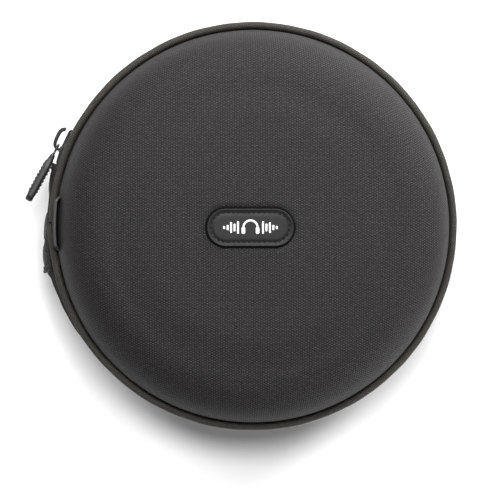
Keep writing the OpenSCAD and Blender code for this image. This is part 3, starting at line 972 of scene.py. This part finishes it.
def make_link():
    loop = rounded_rect(WIRE_LEN, 2 * WIRE_HALF_W, 1.1, 6) + (WIRE_LEN / 2, 0)
    wire = Piece()
    outward = on_puller(0, 1, 0) - PIVOT
    tube(wire, on_puller(loop[:, 0], 0.0, loop[:, 1]), circle(WIRE_R, 14), outward, closed=True)
    wire.make("puller_link_wire", "black_metal", "puller", "puller_link")


def grip_outline():
    """A long rounded tongue that narrows to a neck at the wire."""
    loop = subdivided(rounded_rect(GRIP_LEN, GRIP_W, 3.4, 9), 1.2) + (GRIP_FROM + GRIP_LEN / 2, 0)
    loop[:, 1] *= 0.68 + 0.32 * smoothstep((loop[:, 0] - GRIP_FROM) / NECK_LEN)
    return loop


def tongue(ring, h):
    """Places flat points on the grip, which is thinner at its neck."""
    swell = 0.62 + 0.38 * smoothstep((ring[:, 0] - GRIP_FROM + 1) / NECK_LEN)
    return on_puller(ring[:, 0], h * swell, ring[:, 1])


def make_grip():
    """A tongue with a raised panel of ribs on each face."""
    grip = Piece()
    half_t = GRIP_T / 2
    slab(grip, grip_outline(), fillet_profile(-half_t, half_t, 1.3, 6), tongue)
    panel = rounded_rect(RIB_COUNT * RIB_PITCH + 3.4, GRIP_W - 1.6, 2.2, 5)
    rib = rounded_rect(RIB_LEN, GRIP_W - 2.6, 0.5, 4)
    for face in (-1, 1):
        def place(ring, h, face=face):
            return on_puller(ring[:, 0], face * h, ring[:, 1])

        middle = RIB_FROM + (RIB_COUNT - 1) * RIB_PITCH / 2
        slab(grip, panel + (middle, 0), fillet_profile(half_t - 0.4, half_t + 0.22, 0.2, 3), place)
        for k in range(RIB_COUNT):
            along = (RIB_FROM + k * RIB_PITCH, 0)
            slab(grip, rib + along, fillet_profile(half_t - 0.4, half_t + RIB_H, 0.35, 4), place)
    grip.make("puller_grip_moulded", "satin_rubber", "puller", "puller_grip")


make_link()
make_grip()


# ---------- cloth simulation ----------

def hang_cloth(points, pinned):
    """A sheet of points in mm as a cloth object, fixed where pinned marks it, with its settings."""
    sheet = Piece()
    sheet.grid(points, np.zeros((*points.shape[:2], 2)))
    mesh = bpy.data.meshes.new("sheet")
    mesh.from_pydata((sheet.points[0] * MM).tolist(), [], sheet.faces)
    cloth = new_object("sheet", mesh)
    group = cloth.vertex_groups.new(name="pinned")
    group.add([int(k) for k in np.flatnonzero(pinned.ravel())], 1.0, "REPLACE")
    settings = cloth.modifiers.new("Cloth", "CLOTH").settings
    settings.vertex_group_mass = "pinned"
    settings.quality = 8
    settings.mass = 0.15
    settings.tension_stiffness = settings.compression_stiffness = 20
    settings.shear_stiffness = 8
    settings.bending_stiffness = 0.6
    return cloth, settings


def simulate(points, pinned, pressure, gravity, cap, frames=20, ease=0.0):
    """Where the sheet comes to rest. No point moves more than cap; ease is the slack woven into it."""
    cloth, settings = hang_cloth(points, pinned)
    settings.use_pressure = pressure != 0
    settings.uniform_pressure_force = pressure
    settings.effector_weights.gravity = gravity
    settings.shrink_min = -ease
    scene = bpy.context.scene
    for step in range(1, frames + 1):
        scene.frame_set(step)
    settled = cloth.evaluated_get(bpy.context.evaluated_depsgraph_get()).data
    move = np.array([v.co for v in settled.vertices]).reshape(points.shape) / MM - points
    bpy.data.objects.remove(cloth)
    scene.frame_set(1)
    size = np.linalg.norm(move, axis=-1, keepdims=True)
    return points + move * np.minimum(1, cap / np.maximum(size, 1e-6))


# ---------- fabric hinge ----------

PANEL_T = 1.3
HEM_ANGLE = 1.5
PANEL_COLUMNS, PANEL_ROWS = 97, 33
# The panel's own centre lies a little to one side, so that its lower end stands proud.
PANEL_CENTRE = (0, HINGE_SHIFT_Y, 0)
PANEL_SEAM, PANEL_SEAM_REL = (2.9, 2.1, 0.26), 7.6
HEM_SEAM_IN = HEM_ANGLE * 0.62
BULGE_AT = (161.0, 163.5, 168.0, 174.0, 178.0, 182.0, 185.0, 188.0, 190.9)
EXTRA_BULGE = (0.9, 0.6, -0.3, -1.0, -0.6, 0.0, 0.6, 1.0, 1.5)


def hinge_face(rel, degrees):
    """Radius of the panel's outer face. Its middle has sunk a little and its two ends stand out."""
    extra = np.interp(degrees, BULGE_AT, EXTRA_BULGE)
    return HINGE_EDGE_R + (HINGE_BULGE + extra) * np.cos(np.pi / 2 * rel / TAPE_REL1) ** 0.8


def hem(degrees):
    """Height of the folded hem at the panel's two ends, with the groove of its seam."""
    from_end = np.minimum(degrees - PANEL_FROM, PANEL_TO - degrees)
    fold = 1 - smoothstep((from_end - HEM_ANGLE) / 0.5)
    groove = np.exp(-((from_end - HEM_SEAM_IN) / 0.2) ** 2)
    return 0.55 * fold - 0.35 * groove


def make_hinge_panel():
    """A nylon strip, swelled by the simulation, with a folded hem at its two ends."""
    angles = np.linspace(PANEL_FROM, PANEL_TO, PANEL_COLUMNS)[:, None]
    rel = np.linspace(-TAPE_REL1, TAPE_REL1, PANEL_ROWS)[None]
    sheet = in_half(polar(hinge_face(rel, angles), angles, rel) + PANEL_CENTRE, True)
    pinned = np.zeros(sheet.shape[:2], bool)
    pinned[:, :2] = pinned[:, -2:] = True
    pinned[:1] = pinned[-1:] = True
    sheet = simulate(sheet, pinned, pressure=1.5, gravity=0, cap=0.9, ease=0.02)
    outward = unit((sheet - PANEL_CENTRE) * (1, 1, 0))
    outer = sheet + outward * hem(angles)[..., None]
    inner = (sheet - outward * PANEL_T)[:, ::-1]
    points = np.concatenate([outer, inner], 1)
    along = np.radians(angles - PANEL_FROM) * HINGE_EDGE_R
    across = np.concatenate([rel[0], rel[0, ::-1] + 40, rel[0, :1]])
    uv = np.stack(np.broadcast_arrays(across[None], along), -1)
    panel = Piece()
    panel.grid(points, uv, wrap_v=True, caps=True)
    across_hinge(panel.make("hinge_panel_fabric", "nylon_cover"), "hinge_panel")


def make_hinge_stitches():
    """Two long rows beside the piping, and a short row across each hem."""
    seam = Piece()
    for rel in (-PANEL_SEAM_REL, PANEL_SEAM_REL):
        ring_stitches(seam, PANEL_FROM + 1.0, PANEL_TO - 1.0, PANEL_SEAM,
                      lambda a, rel=rel: (float(hinge_face(rel, a)) + 0.1, rel, math.copysign(0.5, rel)))
    for a in (PANEL_FROM + HEM_SEAM_IN, PANEL_TO - HEM_SEAM_IN):
        t = math.radians(a)
        for rel in np.arange(-6.2, 6.3, 2.48):
            spot = polar(float(hinge_face(rel, a)) + 0.25, a, rel)
            lean = math.copysign(0.35 * abs(rel) / TAPE_REL1, rel)
            stitch(seam, spot, (0, 0, 1), (math.cos(t), math.sin(t), lean), 1.9, 0.24)
    seam.points = [in_half(p + PANEL_CENTRE, True) for p in seam.points]
    across_hinge(seam.make("hinge_panel_stitches", "black_thread"), "hinge_stitching")


def make_hinge_lining():
    """The fleece-faced strip inside the panel, with an edge turned in under each half's piping."""
    r1, edge_r, top = -lining_low[0], TAPE_R0 - TAPE_FLANGE, TAPE_REL1
    rel = np.linspace(-top, top, 21)
    dip = 0.5 * np.cos(np.pi / 2 * rel / top)
    outer = np.stack([r1 - dip, rel], -1)
    inner = np.stack([r1 - 1.0 - dip, rel], -1)[-2:0:-1]
    turned_in = np.array([(edge_r, top), (edge_r, top - 0.35), (r1 - 1.0, top - 0.4)])
    loop = np.concatenate([outer, turned_in, inner, turned_in[::-1] * (1, -1)])
    strip = Piece()
    ring_sweep(strip, HINGE_FROM - 0.8, HINGE_TO + 0.8, 60, loop, True)
    across_hinge(strip.make("hinge_lining_strip", "fleece_lining"), "hinge_lining")


make_hinge_panel()
make_hinge_stitches()
make_hinge_lining()


# ---------- rubber tab ----------

tab_low, tab_high = box_mm("grip_tab")
TAB_MID = (tab_low + tab_high) / 2
TAB_LEN, TAB_H = (tab_high - tab_low)[1:]
TAB_T, TAB_PROUD = 2.0, 0.2
TAB_CURL, TAB_CURL_FROM = 2.0, 0.78


def on_tab(ring, h):
    """Places flat points on the tab, whose ends curl in towards the dome."""
    y = TAB_MID[1] + ring[:, 0]
    past = abs(ring[:, 0]) / (TAB_LEN / 2) - TAB_CURL_FROM
    curl = TAB_CURL * smoothstep(past / (1 - TAB_CURL_FROM)) ** 1.5
    radius = -tab_low[0] + TAB_PROUD - TAB_T + h - curl
    return np.stack([-np.sqrt(radius ** 2 - y ** 2), y, TAB_MID[2] + ring[:, 1]], -1)


def make_tab():
    """A moulded strip that stands on the lid's seam, with a row of grip lines."""
    tab = Piece()
    slab(tab, subdivided(rounded_rect(TAB_LEN, TAB_H, 2.6, 7), 1.5), fillet_profile(0, TAB_T, 0.35), on_tab)
    for k in range(-3, 4):
        grip_line = rounded_rect(1.0, TAB_H - 3.2, 0.45, 4) + (k * 2.6, 0.4)
        slab(tab, grip_line, fillet_profile(TAB_T - 0.3, TAB_T + 0.3, 0.2, 3), on_tab)
    tab.make("lid_grab_tab", "satin_rubber", "lid", "grip_tab")


make_tab()


# ---------- badge ----------

def stadium(d, count=44):
    """The badge's outline, drawn in by d: two half circles joined by straight runs."""
    r, run = BADGE_W / 2 - d, BADGE_LEN - BADGE_W
    turn = np.linspace(-np.pi / 2, np.pi / 2, count)
    right = on_circle(r, turn) + (run / 2, 0)
    top = np.stack([np.linspace(run / 2, -run / 2, 14)[1:-1], np.full(12, r)], -1)
    return np.concatenate([right, top, -right, -top])


def on_crown(ring, h):
    """Places flat points at a height above the lid's crown."""
    x, y = ring[:, 0] + BADGE_X, ring[:, 1]
    return in_half(np.stack([x, y, crown_rel(x, y) + h], -1), True)


# (inset, height) over the rim, the sewn groove and the raised middle.
BADGE_PROFILE = (
    (0.9, -0.75), (0.55, -0.2), (0.15, 0.45), (0.0, 0.95), (0.02, 1.25), (0.12, 1.5), (0.3, 1.64),
    (0.5, 1.68), (0.8, 1.60), (1.2, 1.48), (1.7, 1.34), (2.05, 1.2), (2.42, 1.14), (2.8, 1.18), (3.1, 1.28),
    (3.45, 1.38), (3.9, 1.46), (4.4, 1.5), (5.5, 1.5), (7.0, 1.5), (8.5, 1.5), (10.0, 1.5), (10.8, 1.5),
)
STITCH_INSET, STITCH_FLOOR, STITCH_PITCH = 2.42, 1.14, 2.9
PLATEAU_H = 1.5
BAND_R, BAND_HALF_W = 4.1, 0.55
# How far the painted shadow ring round the badge reaches out beyond its outline.
SHADOW_RING_REACH = 1.25


def make_badge():
    """One moulding with a raised rim, a sewn groove and a raised middle, ringed at its foot by a thin
    near-black rubber ring that is painted shadow.
    """
    badge = Piece()
    slab(badge, stadium, BADGE_PROFILE, on_crown)
    badge.make("badge_moulded", "black_rubber", "lid", "badge")
    # A near-black ring round the badge's foot, which stands in for the shadow at its edge: painted shadow.
    shadow_ring = Piece()
    layers = [(-SHADOW_RING_REACH + 0.1, -0.8), (-SHADOW_RING_REACH, -0.5), (-SHADOW_RING_REACH + 0.1, -0.3), (-0.3, -0.35), (0.5, -0.4)]
    slab(shadow_ring, stadium, layers, on_crown)
    shadow_ring.make("badge_gasket", "gasket", "lid")


def make_badge_stitches():
    """A row of stitches along the bottom of the groove."""
    path = stadium(STITCH_INSET)
    lengths = loop_lengths(path)
    closed = np.concatenate([path, path[:1]])
    count = int(lengths[-1] / STITCH_PITCH)
    seam = Piece()
    for k in range(count):
        start = k * lengths[-1] / count
        here, ahead = [np.array([np.interp(way, lengths, side) for side in closed.T])
                       for way in (start, start + 0.05)]
        spot = on_crown(here[None], STITCH_FLOOR + 0.12)[0]
        stitch(seam, spot, (*(ahead - here), 0), (0, 0, 1), 1.9, 0.27)
    seam.make("badge_stitches", "black_thread", "lid", "badge_stitching")


def make_badge_print():
    """A generic sign in white ink: headphones between two sets of level bars."""
    ink = Piece()
    lay = fillet_profile(PLATEAU_H - 0.1, PLATEAU_H + 0.14, 0.05, 2)
    turn = np.linspace(0, math.pi, 32)
    outer, inner = on_circle(BAND_R + BAND_HALF_W, turn), on_circle(BAND_R - BAND_HALF_W, turn[::-1])
    slab(ink, np.concatenate([outer, inner]), lay, on_crown)
    for side in (-1, 1):
        slab(ink, rounded_rect(2.1, 3.9, 0.8) + (side * BAND_R, -1.7), lay, on_crown)
        for k, height in enumerate((7.2, 4.4, 6.2, 3.0, 1.8)):
            slab(ink, rounded_rect(1.1, height, 0.35) + (side * (7.2 + 2 * k), 0), lay, on_crown)
    ink.make("badge_sign_ink", "white_print", "lid", "badge_print")


make_badge()
make_badge_stitches()
make_badge_print()


# ---------- net pocket ----------

# Side of a hexagon of the net, and the share of it that is open.
NET_CELL = 1.7
NET_HOLE = 0.70
NET_T = 0.35
pocket_low, pocket_high = box_mm("pocket_mesh")
POCKET_R = pocket_high[0]
POCKET_REL = (pocket_low[2] + pocket_high[2]) / 2 - PARTING
EDGE_DIP = 3.0


def pocket_sheet():
    """The hanging net as rows of points, from its elastic edge to the bottom of the half disc."""
    v = np.linspace(0, 0.96, 22)[:, None] * math.pi / 2
    u = np.linspace(-1, 1, 41)[None]
    x = POCKET_R * np.cos(v) * u
    y = -POCKET_R * np.sin(v) + 0 * u
    dip = EDGE_DIP * np.cos(u * math.pi / 2) * np.cos(v) ** 4
    sheet = in_half(np.stack([x, y, POCKET_REL - dip], -1), True)
    pinned = np.zeros(sheet.shape[:2], bool)
    pinned[:, [0, -1]] = pinned[-1] = pinned[0] = True
    return simulate(sheet, pinned, pressure=0, gravity=0.4, cap=5.0, frames=24)


def net_height(sheet):
    """A function that gives the height of the hanging sheet at (x, y), in mm."""
    n, m = sheet.shape[:2]
    corners = [i * m + j for i in range(n - 1) for j in range(m - 1)]
    surface = BVHTree.FromPolygons([Vector(p) for p in sheet.reshape(-1, 3)],
                                   [(k, k + m, k + m + 1, k + 1) for k in corners])

    def height(x, y):
        hit = surface.ray_cast(Vector((x, y, PARTING + CROWN_REL)), Vector((0, 0, -1)))[0]
        if hit is None:
            hit = surface.find_nearest(Vector((x, y, PARTING + POCKET_REL)))[0]
        return hit.z

    return height


def knit(height):
    """Points and faces of a net of hexagonal rings that share their corners, in metres."""
    corners = [(math.cos(math.radians(60 * k)), math.sin(math.radians(60 * k))) for k in range(6)]
    points, faces, index = [], [], {}

    def vertex(x, y):
        key = (round(x * 50), round(y * 50))
        if key not in index:
            index[key] = len(points)
            points.append((x * MM, y * MM, height(x, y) * MM))
        return index[key]

    columns = int(POCKET_R / NET_CELL)
    for row in range(int(2 * POCKET_R / NET_CELL)):
        for col in range(-columns, columns + 1):
            cx = 1.5 * NET_CELL * col
            cy = -math.sqrt(3) * NET_CELL * (row + 0.5 * (col % 2)) - NET_CELL
            if math.hypot(cx, cy) > POCKET_R - NET_CELL * 0.6:
                continue
            outer, inner = [[vertex(cx + size * c, cy + size * s) for c, s in corners]
                            for size in (NET_CELL, NET_CELL * NET_HOLE)]
            faces += [(outer[k], outer[(k + 1) % 6], inner[(k + 1) % 6], inner[k]) for k in range(6)]
    return points, faces


def make_net(height):
    points, faces = knit(height)
    mesh = bpy.data.meshes.new("pocket_net_knit")
    mesh.from_pydata(points, [], faces)
    layer = mesh.uv_layers.new(name="cloth")
    spots = np.array([mesh.vertices[loop.vertex_index].co[:2] for loop in mesh.loops]) / MM
    layer.data.foreach_set("uv", spots.astype(np.float32).ravel())
    mesh.materials.append(MATERIALS["pocket_net"])
    net = new_object("pocket_net_knit", mesh)
    thick = net.modifiers.new("Thickness", "SOLIDIFY")
    thick.thickness = NET_T * MM
    thick.offset = 0
    ride(net, "lid", "pocket_mesh")


def make_pocket_edges(height):
    """The ruffled elastic along the net's mouth, and the tape that holds its rim to the lining."""
    x = np.linspace(-POCKET_R + 1.5, POCKET_R - 1.5, 240)
    ruffle = 0.45 * np.sin(x * TAU / 4.6) + 0.2 * np.sin(x * TAU / 2.9)
    edge = np.stack([x, 0.3 + 0.4 * ruffle, np.array([height(k, -0.4) for k in x]) + 0.5 * ruffle], -1)
    elastic = Piece()
    tube(elastic, edge, oval(2.6, 0.8, 20, 2.6), (0, 0, 1))
    elastic.make("pocket_elastic_edge", "pocket_elastic", "lid", "pocket_binding")
    rim = Piece()
    section = rounded_section(POCKET_R - 2.4, POCKET_R + 0.9, POCKET_REL - 0.5, POCKET_REL + 0.5, 0.4)
    ring_sweep(rim, 181, 359, 200, section, True)
    rim.make("pocket_rim_tape", "binding_tape", "lid")


pocket_height = net_height(pocket_sheet())
make_net(pocket_height)
make_pocket_edges(pocket_height)


# ---------- studio ----------

VIEW_WIDTH = 295.0
CAMERA_DISTANCE = 1600.0
# How far the camera leans towards the hinge, and towards +Y, in degrees.
CAMERA_LEFT, CAMERA_ABOVE = 2.3, 1.5
AIM = np.array([-2.0, -13.9, PARTING + BAND_REL])
SENSOR = 36.0


def make_camera():
    """Looks down on the lid from slightly towards the hinge, with the frame's +Y upwards."""
    left, above = math.radians(CAMERA_LEFT), math.radians(CAMERA_ABOVE)
    back = Vector((-math.tan(left), math.tan(above), 1)).normalized()
    data = bpy.data.cameras.new("camera")
    data.sensor_width = SENSOR
    data.lens = SENSOR * CAMERA_DISTANCE / VIEW_WIDTH
    data.clip_start, data.clip_end = 0.05, 20
    camera = new_object("camera", data)
    right = Vector((0, 1, 0)).cross(back).normalized()
    up = back.cross(right)
    turn = Matrix((right, up, back)).transposed().to_4x4()
    camera.matrix_world = Matrix.Translation((Vector(AIM) + back * CAMERA_DISTANCE) * MM) @ turn
    bpy.context.scene.camera = camera


LIGHT_DISTANCE = 1.85
LIGHT_SIZE = 0.6
LIGHT_AIM = Vector((0, 0, 0.03))
FLOOR_R = 3.0
# Name, azimuth, elevation and watts.
LIGHTS = (
    ("above", 90, 76, 24), ("back_high", 90, 55, 10), ("left_high", 135, 55, 8),
    ("right_low", 45, 25, 25), ("left_low", 135, 25, 7), ("right_level", 45, 12, 18),
    ("back_level", 90, 12, 7.5), ("front_level", 315, 12, 19), ("corner_level", 225, 12, 3.5),
)


def area_light(name, azimuth, elevation, watts):
    """A round soft light, aimed at the case from this azimuth and elevation in degrees."""
    a, e = math.radians(azimuth), math.radians(elevation)
    spot = Vector((math.cos(e) * math.cos(a), math.cos(e) * math.sin(a), math.sin(e))) * LIGHT_DISTANCE
    data = bpy.data.lights.new(name, "AREA")
    data.shape = "DISK"
    data.size = LIGHT_SIZE
    data.energy = watts
    lamp = new_object(name, data)
    lamp.location = spot
    lamp.rotation_euler = (LIGHT_AIM - spot).to_track_quat("-Z", "Y").to_euler()


def make_studio():
    rim = circle(FLOOR_R, 64)
    floor = bpy.data.meshes.new("floor")
    floor.from_pydata([(x, y, 0) for x, y in rim.tolist()], [], [list(range(len(rim)))])
    floor.materials.append(floor_paper(Graph("floor_paper"), grey(0.97)))
    new_object("floor", floor)
    for light in LIGHTS:
        area_light(*light)
    world = bpy.data.worlds.new("studio")
    world.use_nodes = True
    sky = world.node_tree.nodes["Background"].inputs
    sky["Color"].default_value = (1, 1, 1, 1)
    sky["Strength"].default_value = 0.03
    bpy.context.scene.world = world
    bpy.context.scene.view_settings.view_transform = "Standard"


make_camera()
make_studio()
